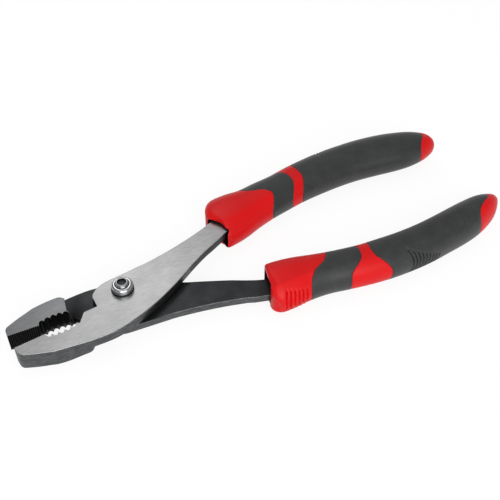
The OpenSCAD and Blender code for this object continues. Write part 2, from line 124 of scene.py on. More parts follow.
# Edges of the colours: share of the grip's length by the place across, -1 outside to 1 inside
UPPER_EDGES = [
    [[-1, 0.055], [-0.75, 0.028], [-0.5, 0.013], [-0.25, 0.01], [0, 0.018], [0.3, 0.033],
     [0.6, 0.038], [0.8, 0.033], [0.9, 0.032], [1, 0.045]],
    [[-1, 0.174], [-0.5, 0.186], [-0.25, 0.208], [0, 0.244], [0.38, 0.267], [0.7, 0.259],
     [1, 0.24]],
    [[-1, 0.326], [-0.75, 0.341], [-0.5, 0.358], [-0.15, 0.367], [0.3, 0.367], [0.6, 0.359],
     [1, 0.336]],
    [[-1, 0.425], [-0.64, 0.413], [-0.1, 0.411], [0.3, 0.41], [0.6, 0.402], [1, 0.382]],
    [[-1, 0.925], [-0.5, 0.952], [0, 0.95], [0.38, 0.928], [0.7, 0.91], [1, 0.898]],
    [[-1, 1], [1, 1]]]
LOWER_EDGES = [
    [[-1, 0.055], [-0.85, 0.044], [-0.46, 0.044], [-0.29, 0.05], [0.06, 0.055], [0.46, 0.062],
     [0.8, 0.07], [1, 0.078]],
    [[-1, 0.171], [-0.75, 0.179], [-0.5, 0.194], [-0.25, 0.215], [0, 0.245], [0.4, 0.269],
     [1, 0.287]],
    [[-1, 0.314], [-0.85, 0.318], [-0.7, 0.33], [-0.45, 0.355], [-0.2, 0.371], [0.2, 0.381],
     [1, 0.391]],
    [[-1, 0.461], [-0.85, 0.45], [-0.6, 0.433], [-0.36, 0.42], [0, 0.417], [0.66, 0.426],
     [1, 0.431]],
    [[-1, 0.853], [-0.6, 0.863], [-0.35, 0.876], [-0.15, 0.903], [0.05, 0.935], [0.4, 0.95],
     [1, 0.956]],
    [[-1, 1], [1, 1]]]


# Camera: the photograph's place, turn and field of view
def photo_camera():
    yaw, pitch = math.radians(25.98), math.radians(45.5)
    data = bpy.data.cameras.new("camera")
    data.sensor_fit = "HORIZONTAL"
    data.sensor_width = 36.0
    data.lens = 59.76
    data.clip_start = 0.01
    camera = bpy.data.objects.new("camera", data)
    camera.location = Vector((-49.5, -213.8, 243.0)) * MM
    camera.rotation_euler = (math.pi / 2 - pitch, 0, -yaw)
    bpy.context.collection.objects.link(camera)
    bpy.context.scene.camera = camera


photo_camera()



# Nodes and colours
def linear(code):
    """Linear colour of an sRGB hex code."""
    parts = [int(code[i:i + 2], 16) / 255 for i in (1, 3, 5)]
    return [p / 12.92 if p <= 0.04045 else ((p + 0.055) / 1.055) ** 2.4 for p in parts] + [1.0]


def put(tree, kind, inputs=None, **settings):
    """Adds a node, sets or links its inputs, and gives it its settings, of which stops fill a
    colour ramp. A node that is given for an input is linked by its first output."""
    made = tree.nodes.new(kind)
    for name, value in settings.items():
        if name != "stops":
            setattr(made, name, value)
            continue
        band = made.color_ramp.elements
        while len(band) < len(value):
            band.new(0.5)
        for stop, (position, colour) in zip(band, value):
            stop.position = position
            stop.color = linear(colour)
    for key, value in (inputs or {}).items():
        source = value.outputs[0] if isinstance(value, bpy.types.Node) else value
        if isinstance(source, bpy.types.NodeSocket):
            tree.links.new(source, made.inputs[key])
        else:
            made.inputs[key].default_value = value
    return made


def new_material(name):
    """A material, its empty tree, and the object coordinates that its patterns read."""
    material = bpy.data.materials.new(name)
    material.use_nodes = True
    tree = material.node_tree
    tree.nodes.clear()
    return material, tree, put(tree, "ShaderNodeTexCoord").outputs["Object"]


def finished(material, colour, relief, strength, depth, film, rough, shader):
    """Ends a material: the relief pattern, that many millimetres deep, gives the bump, and the
    film pattern gives the roughness between two values."""
    tree = material.node_tree
    bump = put(tree, "ShaderNodeBump",
               {"Strength": strength, "Distance": depth * MM, "Height": relief})
    gloss = put(tree, "ShaderNodeMapRange",
                {"Value": film, "To Min": rough[0], "To Max": rough[1]})
    surface = put(tree, "ShaderNodeBsdfPrincipled",
                  {"Base Color": colour, "Normal": bump, "Roughness": gloss, **shader})
    put(tree, "ShaderNodeOutputMaterial", {"Surface": surface})
    return material


# Finishes. A pattern's scale is the number of its cells to the millimetre.
# Chrome vanadium steel, flats ground on a belt: grey with straight streaks. Real grinding lines
# are under 0.1 mm wide; to show, they are drawn 0.4 mm wide and 4 mm long. Clouds of 6 to 11 mm
# come from the belt's uneven touch.
def ground_steel(name, tones):
    material, tree, place = new_material(name)
    lay = put(tree, "ShaderNodeMapping",
              {"Vector": place, "Rotation": (0, 0, math.radians(28)),
               "Scale": (0.26 / MM, 2.6 / MM, 0.26 / MM)})
    streaks = put(tree, "ShaderNodeTexNoise",
                  {"Vector": lay, "Scale": 1.0, "Detail": 4.0, "Roughness": 0.6})
    touch = put(tree, "ShaderNodeMapping",
                {"Vector": place, "Scale": (0.09 / MM, 0.16 / MM, 0.09 / MM)})
    clouds = put(tree, "ShaderNodeTexNoise",
                 {"Vector": touch, "Scale": 1.0, "Detail": 3.0, "Roughness": 0.5})
    both = put(tree, "ShaderNodeMath", {0: clouds, 1: 0.45, 2: streaks}, operation="MULTIPLY_ADD")
    colour = put(tree, "ShaderNodeValToRGB",
                 {"Fac": both}, stops=list(zip((0.4, 0.75, 1.0), tones)))
    return finished(material, colour, streaks, 0.15, 0.02, streaks, (0.3, 0.42),
                    {"Metallic": 1.0})


# Black oxide over a forged skin: nearly black where it is whole. The teeth are blackest: greasy
# oxide and painted shade between the jaws. The flanks that face -y go to streaky grey steel,
# which is rubbed-through wear and also a painted highlight from the lamps on that side. The
# skin's grain is 0.4 mm, its patches 8 mm, and the streaks of forging scale 0.7 mm high and 3 mm
# long.
def oxide_steel():
    material, tree, place = new_material("forged_steel_black_oxide")
    mottle = put(tree, "ShaderNodeTexNoise",
                 {"Vector": place, "Scale": 2.6 / MM, "Detail": 4.0, "Roughness": 0.6})
    patches = put(tree, "ShaderNodeTexNoise",
                  {"Vector": place, "Scale": 0.12 / MM, "Detail": 3.0, "Roughness": 0.5})
    both = put(tree, "ShaderNodeMath", {0: patches, 1: 0.8, 2: mottle}, operation="MULTIPLY_ADD")
    whole = put(tree, "ShaderNodeValToRGB",
                {"Fac": both}, stops=[(0.6, "#2f3031"), (0.9, "#353637"), (1.0, "#3d3e3f")])
    along = put(tree, "ShaderNodeMapping",
                {"Vector": place, "Rotation": (0, 0, math.radians(-3)),
                 "Scale": (0.3 / MM, 0.3 / MM, 1.5 / MM)})
    scale = put(tree, "ShaderNodeTexNoise",
                {"Vector": along, "Scale": 1.0, "Detail": 6.0, "Roughness": 0.75})
    rubbed_and_painted_highlight = put(tree, "ShaderNodeValToRGB",
                 {"Fac": scale}, stops=[(0.36, "#464748"), (0.5, "#57595a"), (0.66, "#6c6e70")])
    # The attribute blackens the teeth below 0, as grease and painted shade, and lightens the
    # flanks that face -y above 0, as wear and a painted highlight
    wear = put(tree, "ShaderNodeAttribute", attribute_name="wear").outputs["Fac"]
    grease_and_painted_shade = put(tree, "ShaderNodeMath", {0: wear, 1: -1.0}, operation="MULTIPLY", use_clamp=True)
    black = put(tree, "ShaderNodeMix",
                {0: grease_and_painted_shade, 6: whole, 7: linear("#19191a")}, data_type="RGBA").outputs[2]
    colour = put(tree, "ShaderNodeMix",
                 {0: wear, 6: black, 7: rubbed_and_painted_highlight}, data_type="RGBA").outputs[2]
    return finished(material, colour, mottle, 0.35, 0.04, mottle, (0.36, 0.48),
                    {"Metallic": 1.0})


# Turned steel: smooth, with the faint rings of the lathe. Real ones are finer than these 0.35 mm,
# which are as coarse as they need to be to show; a wave texture has 3.2 waves to a cell.
def turned_steel(name, tones, smooth, rough):
    material, tree, place = new_material(name)
    rings = put(tree, "ShaderNodeTexWave",
                {"Vector": place, "Scale": 0.9 / MM, "Distortion": 0.6, "Detail": 2.0,
                 "Detail Scale": 2.0},
                wave_type="RINGS", rings_direction="Z", wave_profile="SIN").outputs["Fac"]
    film = put(tree, "ShaderNodeTexNoise",
               {"Vector": place, "Scale": 0.7 / MM, "Detail": 3.0, "Roughness": 0.5})
    colour = put(tree, "ShaderNodeValToRGB", {"Fac": film}, stops=list(zip((0.3, 0.7), tones)))
    return finished(material, colour, rings, 0.12, 0.01, film, (smooth, rough),
                    {"Metallic": 1.0})


# Red polypropylene, moulded in a finely spark-eroded tool: satin, with an even grain of 0.4 mm
# and flow clouds of 22 mm
def red_plastic():
    material, tree, place = new_material("polypropylene_moulded_red")
    grain = put(tree, "ShaderNodeTexNoise",
                {"Vector": place, "Scale": 2.4 / MM, "Detail": 3.0, "Roughness": 0.6})
    flow = put(tree, "ShaderNodeTexNoise",
               {"Vector": place, "Scale": 0.045 / MM, "Detail": 2.0, "Roughness": 0.5})
    both = put(tree, "ShaderNodeMath", {0: grain, 1: 0.35, 2: flow}, operation="MULTIPLY_ADD")
    colour = put(tree, "ShaderNodeValToRGB",
                 {"Fac": both}, stops=[(0.35, "#c8090c"), (0.7, "#d00b0f"), (1.0, "#d60f13")])
    return finished(material, colour, grain, 0.3, 0.03, grain, (0.36, 0.46),
                    {"IOR": 1.49, "Specular IOR Level": 0.22})


# Inside of a grip's mouth: the same plastic, painted nearly black as the shade in the cavity,
# in blots of 3 mm
def painted_mouth_shade():
    material, tree, place = new_material("polypropylene_mouth_painted_shade")
    film = put(tree, "ShaderNodeTexNoise",
               {"Vector": place, "Scale": 0.3 / MM, "Detail": 3.0, "Roughness": 0.6})
    colour = put(tree, "ShaderNodeValToRGB",
                 {"Fac": film}, stops=[(0.35, "#140607"), (0.65, "#2a0a0b")])
    plastic = put(tree, "ShaderNodeBsdfPrincipled",
                  {"Base Color": colour, "IOR": 1.49, "Specular IOR Level": 0.2, "Roughness": 0.6})
    put(tree, "ShaderNodeOutputMaterial", {"Surface": plastic})
    return material


# Black thermoplastic rubber, moulded matt: charcoal, with a leathery grain of 0.6 mm, a soft
# sheen, and handling marks of 7 mm
def black_rubber():
    material, tree, place = new_material("thermoplastic_rubber_moulded_black")
    grain = put(tree, "ShaderNodeTexVoronoi",
                {"Vector": place, "Scale": 1.7 / MM, "Randomness": 1.0},
                feature="F1").outputs["Distance"]
    marks = put(tree, "ShaderNodeTexNoise",
                {"Vector": place, "Scale": 0.15 / MM, "Detail": 4.0, "Roughness": 0.6})
    both = put(tree, "ShaderNodeMath", {0: grain, 1: 0.5, 2: marks}, operation="MULTIPLY_ADD")
    colour = put(tree, "ShaderNodeValToRGB",
                 {"Fac": both}, stops=[(0.4, "#272828"), (0.75, "#2d2e2e"), (1.0, "#343535")])
    return finished(material, colour, grain, 0.5, 0.05, marks, (0.38, 0.5),
                    {"IOR": 1.5, "Specular IOR Level": 0.35, "Sheen Weight": 0.06,
                     "Sheen Roughness": 0.5})


# Flats in two tones: the bright head and neck, and the jaw pad in darker tones, which paint
# the reflection fading towards the jaw
GROUND = ground_steel("chrome_vanadium_steel_belt_ground", ("#848586", "#9b9b9b", "#aeaeae"))
PAD = ground_steel("chrome_vanadium_steel_ground_pad_painted_dim", ("#666769", "#757677", "#848586"))
OXIDE = oxide_steel()
# Zinc plating on the nut is bright; the bolt's bare end is darker and duller
PLATED = turned_steel("zinc_plated_steel_turned", ("#acadaf", "#bbbcbe"), 0.15, 0.26)
BOLT = turned_steel("bolt_steel_turned", ("#838587", "#929496"), 0.24, 0.36)
# The cup in the bolt's end is as punched; its dark tones are painted shade in the recess
CUP_PAINTED_SHADE = turned_steel("bolt_steel_cup_painted_shade", ("#2c2d2e", "#38393a"), 0.3, 0.42)
RED, BLACK, MOUTH_PAINTED_SHADE = red_plastic(), black_rubber(), painted_mouth_shade()


# Curves
SPLINE_STEPS = 8


def spline(points):
    """Smooth curve through the points, the same as in the solids."""
    out = []
    last = len(points) - 1
    for i in range(last):
        a, b = Vector(points[max(i - 1, 0)]), Vector(points[i])
        c, d = Vector(points[i + 1]), Vector(points[min(i + 2, last)])
        for k in range(SPLINE_STEPS):
            u = k / SPLINE_STEPS
            out.append(b + (c - a) * u / 2 + (a - 2.5 * b + 2 * c - d / 2) * u * u
                       + (1.5 * (b - c) + (d - a) / 2) * u ** 3)
    return out + [Vector(points[last])]


def smoothstep(value, low, high):
    """0 up to low, 1 from high, and a smooth rise between."""
    u = min(max((value - low) / (high - low), 0.0), 1.0)
    return u * u * (3 - 2 * u)


def row_at(table, s):
    """Row of a table at the share s, on a smooth cubic through the rows."""
    i = max([0] + [k for k in range(len(table) - 1) if table[k][0] <= s])

    def slope(k):
        a, b = max(k - 1, 0), min(k + 1, len(table) - 1)
        return [(q - p) / (table[b][0] - table[a][0]) for p, q in zip(table[a], table[b])]

    width = table[i + 1][0] - table[i][0]
    u = (s - table[i][0]) / width
    ease = u * u * (3 - 2 * u)
    return [p * (1 - ease) + q * ease + m * width * u * (1 - u) ** 2 - n * width * u * u * (1 - u)
            for p, q, m, n in zip(table[i], table[i + 1], slope(i), slope(i + 1))]


def turned(x, y, angle):
    return x * math.cos(angle) - y * math.sin(angle), x * math.sin(angle) + y * math.cos(angle)


def rear_place(point):
    x, y = turned(point[0], point[1] - PIVOT_RISE, REAR_TURN)
    return Vector((x, y, point[2])) * MM


def front_place(point):
    x, y = turned(point[0], -point[1] - PIVOT_RISE, FRONT_TURN)
    return Vector((x, y, -point[2])) * MM


def circle(radius, middle, start, end, count):
    return [(middle[0] + radius * math.cos(start + (end - start) * k / count),
             middle[1] + radius * math.sin(start + (end - start) * k / count))
            for k in range(count + 1)]


def arc(radius, middle, start, end, count=5):
    return circle(radius, middle, math.radians(start), math.radians(end), count)


# Mesh helpers
def solid(name, bm, *materials):
    """Object of the closed shell in bm, with its faces turned outwards."""
    bmesh.ops.recalc_face_normals(bm, faces=bm.faces)
    if bm.calc_volume(signed=True) < 0:
        bmesh.ops.reverse_faces(bm, faces=bm.faces)
    mesh = bpy.data.meshes.new(name)
    bm.to_mesh(mesh)
    bm.free()
    for material in materials:
        mesh.materials.append(material)
    made = bpy.data.objects.new(name, mesh)
    bpy.context.collection.objects.link(made)
    return made


def smoothed(made, sharp):
    """The object, shaded smooth but for edges sharper than that many degrees."""
    for face in made.data.polygons:
        face.use_smooth = True
    made.data.set_sharp_from_angle(angle=math.radians(sharp))
    return made


def applied(source):
    """Makes the modifiers' result the object's plain mesh."""
    bpy.context.view_layer.update()
    graph = bpy.context.evaluated_depsgraph_get()
    mesh = bpy.data.meshes.new_from_object(source.evaluated_get(graph))
    source.modifiers.clear()
    source.data = mesh


def weight_normals(made, sharp, weight):
    """Normals that follow the larger faces, and break at edges sharper than sharp degrees."""
    made.data.set_sharp_from_angle(angle=math.radians(sharp))
    weighted = made.modifiers.new("weighted", "WEIGHTED_NORMAL")
    weighted.keep_sharp = True
    weighted.weight = weight
    applied(made)


def cut(target, cutter):
    tool = target.modifiers.new("cut", "BOOLEAN")
    tool.operation = "DIFFERENCE"
    tool.solver = "EXACT"
    tool.material_mode = "TRANSFER"
    tool.object = cutter
    applied(target)
    mesh = cutter.data
    bpy.data.objects.remove(cutter)
    bpy.data.meshes.remove(mesh)


def join_rows(bm, low, high):
    for k in range(len(low) - 1):
        bm.faces.new((low[k], low[k + 1], high[k + 1], high[k]))


def join_rings(bm, rings):
    for low, high in zip(rings, rings[1:]):
        join_rows(bm, low + low[:1], high + high[:1])


def add_face(bm, corners):
    """Face over the corners, each taken once, so that it closes to a triangle at a pole."""
    bm.faces.new([v for i, v in enumerate(corners) if v not in corners[:i]])


# Levers
PIPE_START = -PIPE_MID - PIPE_PITCH * PIPE_GROOVES / 2
FINE_TEETH = int((JAW_LEN + PIPE_START) / FINE_PITCH)


def lever_points(shares, height):
    return [(x * (JAW_LEN if x < 0 else NECK_LEN), y * height) for x, y in shares]


def tang_side(side, extra=0.0):
    return spline([(NECK_LEN + TANG_LEN * s, -HANDLE_DROP * drop + side * (TANG_W / 2 * w + extra))
                   for s, drop, w in TANG])


def tooth_line():
    """Fine teeth from the tip, then the pipe grip's grooves on their arc."""
    points = []
    for i in range(FINE_TEETH):
        points.append((-JAW_LEN + i * FINE_PITCH, LAP_FACE))
        points.append((-JAW_LEN + (i + 0.5) * FINE_PITCH, LAP_FACE + FINE_DEPTH))
    points += [(-JAW_LEN + FINE_TEETH * FINE_PITCH, LAP_FACE), (PIPE_START, LAP_FACE)]
    for i in range(1, 4 * PIPE_GROOVES - 1):
        x = PIPE_START + i * PIPE_PITCH / 4
        rise = PIPE_RISE - PIPE_RADIUS + math.sqrt(PIPE_RADIUS ** 2 - (x + PIPE_MID) ** 2)
        points.append((x, rise + PIPE_DEPTH * GROOVE_FORM[i % 4]))
    return points


def inward(points):
    """Step into the material at each point of an outline that runs anticlockwise, mitred."""
    steps = []
    for k, point in enumerate(points):
        before = (Vector(point) - Vector(points[k - 1])).normalized()
        after = (Vector(points[(k + 1) % len(points)]) - Vector(point)).normalized()
        first, second = Vector((-before.y, before.x)), Vector((-after.y, after.x))
        both = (first + second).normalized()
        steps.append(both / max(both.dot(first), 0.6))
    return steps


def rounding(bm, place, points, radii, face_z, away, steps=5):
    """Rings of vertices from the side of an outline, round its edge, to the flat at face_z."""
    moves = inward(points)
    rings = []
    for k in range(steps + 1):
        t = math.pi / 2 * (1 - k / steps)
        side, up = 1 - math.sin(t), 1 - math.cos(t)
        rings.append([bm.verts.new(place((p[0] + m[0] * r * side, p[1] + m[1] * r * side,
                                          face_z + away * r * up)))
                      for p, m, r in zip(points, moves, radii)])
    return rings


def flat_face(bm, rings):
    """Triangles over the flat inside the first ring and outside the others."""
    verts = [v for ring in rings for v in ring]
    spots = [Vector((v.co.x, v.co.y)) / MM for v in verts]
    edges, start = [], 0
    for ring in rings:
        edges += [(start + k, start + (k + 1) % len(ring)) for k in range(len(ring))]
        start += len(ring)
    found, _, triangles, source, _, _ = delaunay_2d_cdt(spots, edges, [], 0, 1e-4)
    walls = [(spots[a], spots[b]) for a, b in edges]
    for corners in triangles:
        x = sum(found[i][0] for i in corners) / 3
        y = sum(found[i][1] for i in corners) / 3
        crossings = sum(1 for a, b in walls if (a.y > y) != (b.y > y)
                        and x < (b.x - a.x) * (y - a.y) / (b.y - a.y) + a.x)
        if crossings % 2:
            bm.faces.new([verts[source[i][0]] for i in corners])


def gap_to(point, others):
    return min(math.hypot(point[0] - q[0], point[1] - q[1]) for q in others)


def edge_sizes(points, size, crisp, growth=0.5, end=4.0):
    """Edge rounding at each point: tiny at the crisp points, and growing to size away from them;
    small over the end of the tang."""
    tang_end = NECK_LEN + TANG_LEN - end
    return [min(size, TOOTH_ROUNDING + growth * gap_to(p, crisp),
                TANG_END_ROUNDING if p[0] > tang_end else size) for p in points]


def lap_edge_sizes(points, size, step, neck=8.0, neck_growth=0.08, growth=0.3, step_growth=0.2):
    """Edge rounding round the lap: small at the head, growing to size along the neck, and small
    again at the tang's end and where the step up to the pad stands."""
    tang_end = NECK_LEN + TANG_LEN
    return [min(size, max(HEAD_ROUNDING, (p[0] - neck) * neck_growth),
                TANG_END_ROUNDING + growth * max(0.0, tang_end - p[0]),
                step_growth * gap_to(p, step)) for p in points]


def lever(name, place, reach, neck_shares, roundings, upside_down, hole):
    """One forging: half-thick head, neck and tang, a full-thick jaw pad, and a hole in the head.
    roundings are those of the low face, the lap and the pad."""
    teeth = tooth_line()
    notch = lever_points([(x, -y) for x, y in NOTCH], LAP_DROP)
    lap = notch + spline(lever_points([(x, -y) for x, y in LAP_EDGE], LAP_DROP)) + tang_side(-1)
    neck = tang_side(1)[::-1]
    back = spline(lever_points(TIP_BACK + HEAD_BACK + neck_shares, BACK_H))
    corner = spline(lever_points(TIP_BACK, BACK_H)
                    + [(x + reach, y) for x, y in lever_points(PAD_CORNER, BACK_H)])
    # The back and the pad's corner are one curve as far as here
    shared = SPLINE_STEPS * (len(TIP_BACK) - 2)
    shoulder = lever_points([PAD_SHOULDER], BACK_H)[0]
    step = [(shoulder[0] + reach, shoulder[1])] + [tuple(p) for p in corner[:shared:-1]]
    if upside_down:
        # The pad that reaches further ends at the last groove's bottom, with a straight flank
        teeth.pop(-2)
    pipe_end = len(teeth) - (1 if upside_down else 3)

    low_points = teeth + lap + neck + back[::-1]
    lap_part = teeth[pipe_end:] + lap + neck + back[shared:][::-1]
    mid_points = lap_part + step[::-1]
    pad_points = teeth[:pipe_end + 1] + step + back[:shared + 1][::-1]
    crisp = teeth + notch[:2] + step[:1]
    low_size, lap_size, pad_size = roundings
    mid_sizes = lap_edge_sizes(lap_part, lap_size, step) + [0.0] * len(step)
    # The lap meets the pad's two ends without a rounding
    for k in [len(lap_part) - 1] + list(range(len(teeth) - pipe_end)):
        mid_sizes[k] = 0.0

    bm = bmesh.new()
    low = rounding(bm, place, low_points, edge_sizes(low_points, low_size, crisp), -HALF_T, 1)
    mid = rounding(bm, place, mid_points, mid_sizes, -LAP_FACE, -1)
    pad = rounding(bm, place, pad_points, edge_sizes(pad_points, pad_size, crisp), HALF_T, -1)
    side = -1 if upside_down else 1
    bore = [[bm.verts.new(Vector((x, y, side * z)) * MM) for x, y in hole]
            for z in (-HALF_T, -LAP_FACE)]
    for rings in (bore, low, mid, pad):
        join_rings(bm, rings)
    flat_face(bm, [low[-1], bore[0]])
    flat_face(bm, [mid[-1], bore[1]])
    flat_face(bm, [pad[-1]])
    low_side, mid_side, pad_side = low[0], mid[0], pad[0]
    # Walls under the lap, from the last shared tooth round to the start of the pad's back
    lap_end = len(lap_part)
    join_rows(bm, low_side[pipe_end:pipe_end + lap_end], mid_side[:lap_end])
    # Full-height walls of the pad, whose two ends also touch the lap's corners
    pad_low = low_side[pipe_end + lap_end - 1:] + low_side[:pipe_end + 1]
    pad_high = pad_side[pipe_end + 1 + len(step):] + pad_side[:pipe_end + 1]
    for k in range(len(pad_low) - 1):
        corners = [pad_low[k], pad_low[k + 1], pad_high[k + 1], pad_high[k]]
        if k == len(pad_low) - 2:
            corners.insert(2, mid_side[0])
        if k == 0:
            corners.append(mid_side[lap_end - 1])
        bm.faces.new(corners)
    # Step from the lap up to the pad
    join_rows(bm, [mid_side[0]] + mid_side[lap_end:][::-1] + [mid_side[lap_end - 1]],
              pad_side[pipe_end:pipe_end + len(step) + 2])
    bmesh.ops.remove_doubles(bm, verts=bm.verts, dist=2e-7)
    return solid(name, bm)


def shade_lever(made, flats, jaw_side, rubbed_and_lit_to):
    """Ground flats are bright; the rest keeps its black oxide. On the jaw's toothed side the oxide
    is painted blacker, as grease and as shade between the jaws; on the flanks that face -y it is
    painted lighter, as rubbed wear and as a highlight, as far along as the last argument.
    jaw_side is 1 where the jaw's back faces +y, and -1 where it faces -y."""
    mesh = made.data
    for material in (flats, OXIDE):
        mesh.materials.append(material)
    wear = mesh.attributes.new("wear", "FLOAT", "POINT")
    for vertex in mesh.vertices:
        toothed = -jaw_side * vertex.normal.y
        # Teeth: painted shade between the jaws, with grease
        if vertex.co.x < JAW_ROOT * MM and toothed > 0.2:
            value = -min(1.0, 3 * toothed - 0.6)
        # Flanks facing -y: painted highlight, with rubbed wear
        elif vertex.co.x < rubbed_and_lit_to * MM:
            value = min(max(-vertex.normal.y * 2.5 - 0.6, 0.0), 1.0)
        else:
            value = 0.0
        wear.data[vertex.index].value = value
    for face in mesh.polygons:
        flat = abs(face.normal.z) > 0.6 and abs(face.center.z) > (HALF_T - 0.25) * MM
        face.material_index = 0 if flat else 1
        face.use_smooth = True
    weight_normals(made, 35, 100)


def slip_slot():
    """Figure-eight slot in the rear lever: two round seats and a waist for the flats."""
    radius = SHANK_D / 2 + LAP_FACE
    flat_angle = math.asin(SHANK_FLATS / SHANK_D)
    waist = SHANK_D / 2 * math.sin(flat_angle + SLIP_ANGLE + WAIST_PLAY)
    lean = math.acos(waist / radius)
    return circle(radius, (0, 0), -lean, math.pi + lean, 48) \
        + circle(radius, (0, -SLIP), math.pi - lean, 2 * math.pi + lean, 48)


def flatted(point, half):
    """The point moved onto the nearer of two flats, lined up with the slot past rest."""
    u, v = turned(point[0], point[1], SLIP_ANGLE)
    return turned(max(-half, min(half, u)), v, -SLIP_ANGLE)


def flatted_hole():
    gap = 0.02
    return [flatted(p, SHANK_FLATS / 2 + gap)
            for p in circle(SHANK_D / 2 + gap, (0, 0), 0, 2 * math.pi, 72)[:-1]]


rear_lever = lever("rear_lever_forging", rear_place, 0.0, REAR_NECK, REAR_ROUNDINGS, False,
                   slip_slot())
shade_lever(rear_lever, PAD, 1, 60)
front_lever = lever("front_lever_forging", front_place, FRONT_PAD_REACH, FRONT_NECK,
                    FRONT_ROUNDINGS, True, flatted_hole())
shade_lever(front_lever, GROUND, -1, 28)


# Pivot
def lathe(name, profile, material, shape=tuple, sides=96):
    """Turned piece round the pivot's axis from (radius, z) pairs, from its bottom to its top, or
    round to its first pair. shape may move a point."""
    closed = profile[0] == profile[-1]
    bm = bmesh.new()
    rings = []
    for radius, z in profile[:-1] if closed else profile:
        angles = [2 * math.pi * k / sides for k in range(sides if radius else 1)]
        points = [(radius * math.cos(angle), radius * math.sin(angle), z) for angle in angles]
        rings.append([bm.verts.new(Vector(shape(point)) * MM) for point in points])
    if closed:
        rings.append(rings[0])
    for a, b in zip(rings, rings[1:]):
        for k in range(sides):
            n = (k + 1) % sides
            add_face(bm, [a[k % len(a)], a[n % len(a)], b[n % len(b)], b[k % len(b)]])
    bmesh.ops.dissolve_degenerate(bm, edges=bm.edges, dist=1e-8)
    bmesh.ops.remove_doubles(bm, verts=bm.verts, dist=1e-7)
    return smoothed(solid(name, bm, material), 32)


def bolt_profile(dome_rings=12, bevel=0.1, lip=0.12, end_round=0.35):
    """Domed head, shank, thread, and a rounded end with a punched cup."""
    seat, rim = -HALF_T - LAP_FACE, HEAD_H / 4
    dome = HEAD_H - rim
    sphere = (HEAD_D ** 2 / 4 + dome ** 2) / (2 * dome)
    head = [(0, seat - HEAD_H)]
    for k in range(1, dome_rings + 1):
        radius = HEAD_D / 2 * k / dome_rings
        head.append((radius, seat - HEAD_H + sphere - math.sqrt(sphere ** 2 - radius ** 2)))
    head += [(HEAD_D / 2, seat - bevel), (HEAD_D / 2 - bevel, seat)]
    root = THREAD_D / 2
    shank = [(SHANK_D / 2, seat), (SHANK_D / 2, HALF_T), (root, HALF_T)]
    thread = []
    for k in range(THREAD_TURNS):
        z = STUB_TOP - 1.1 + THREAD_PITCH * k
        thread += [(root, z), (root - THREAD_DEPTH, z + THREAD_PITCH / 2)]
    end = [(root, STUB_TOP - 0.42)] \
        + arc(end_round, (root - 0.4, STUB_TOP - end_round), 10, 90)
    cup = arc(lip, (CUP + lip, STUB_TOP - lip), 90, 180, 3) \
        + [(CUP - 0.3, STUB_TOP - 0.8), (0, STUB_TOP - 1.05)]
    return head + shank + thread + end + cup


def with_flats(point):
    """Flats on the shank, lined up with the slot at the slipping angle past rest."""
    x, y, z = point
    if -HALF_T - LAP_FACE <= z <= HALF_T and abs(math.hypot(x, y) - SHANK_D / 2) < 0.01:
        x, y = flatted((x, y), SHANK_FLATS / 2)
    return x, y, z


def nut_profile(edge=0.25, crown=1.1, mouth=0.1):
    """Round nut with a well rounded crown, and a countersink round the bolt's end."""
    bore, outer, top = THREAD_D / 2 + 0.02, NUT_D / 2, NUT_Z + NUT_H
    sink = bore + 0.5
    return [(bore, NUT_Z), (outer - edge, NUT_Z)] \
        + arc(edge, (outer - edge, NUT_Z + edge), -90, 0) \
        + arc(crown, (outer - crown, top - crown), 0, 90, 12) + [(sink, top)] \
        + arc(mouth, (sink, top - mouth), 90, 135, 2) + [(bore, top - 0.55), (bore, NUT_Z)]


def washer_profile():
    """Flat ring, a little smaller than the solid, so that it doesn't show past the nut."""
    low, bore, outer = HALF_T + LAP_FACE, THREAD_D / 2 + 0.05, WASHER_D / 2 - 0.12
    high = low + WASHER_T
    return [(bore, low), (outer - 0.08, low), (outer, low + 0.08), (outer, high - 0.1),
            (outer - 0.1, high), (bore, high), (bore, low)]


bolt = lathe("pivot_bolt_turned", bolt_profile(), BOLT, shape=with_flats)
# The cup's faces get the painted shade
bolt.data.materials.append(CUP_PAINTED_SHADE)
for face in bolt.data.polygons:
    centre = face.center / MM
    if centre.z > STUB_TOP - 1.2 and math.hypot(centre.x, centre.y) < CUP:
        face.material_index = 1
nut = lathe("pivot_nut_turned", nut_profile(), PLATED)
# The washer's dark oxide shows as a thin dark ring round the nut's foot, a painted contact shadow
washer = lathe("nut_washer_pressed", washer_profile(), OXIDE)


# Grips
def bulge(c):
    return math.copysign(abs(c) ** (2 / SECTION_POWER), c)


ANGLES = [2 * math.pi * k / RING_POINTS for k in range(RING_POINTS)]
ACROSS = [bulge(math.cos(angle)) for angle in ANGLES]


def ridged(across, angle, s, up):
    """Height of the section: nearly flat on top as far as a ridge on the viewer's outer side,
    softer along the body, and plain everywhere else. up is 1 where the lever's +z points up, and
    -1 where it points down."""
    round_height = abs(bulge(math.sin(angle)))
    if math.sin(angle) * up <= 0 or across * up >= 0:
        return math.copysign(round_height, math.sin(angle))
    place = abs(across)
    if place <= RIDGE:
        height = 1 - RIDGE_DIP * (place / RIDGE) ** 2
    else:
        fall = ((place - RIDGE) / (1 - RIDGE)) ** SLOPE_POWER
        height = (1 - RIDGE_DIP) * max(0.0, 1 - fall) ** (1 / SLOPE_ROOT)
    weight = 1 - FADED * smoothstep(s, 0.2, 0.3)
    return math.copysign(round_height * (1 - weight) + height * weight, math.sin(angle))


def grip_point(sections, s, angle, inset, up):
    row = row_at(sections, min(max(s, 0.0), 1.0))
    across = bulge(math.cos(angle))
    return (NECK_LEN + GRIP_LEN * s,
            -HANDLE_DROP * row[1] + (GRIP_W / 2 * row[2] - inset) * across,
            (GRIP_T / 2 * row[3] - inset) * ridged(across, angle, s, up))


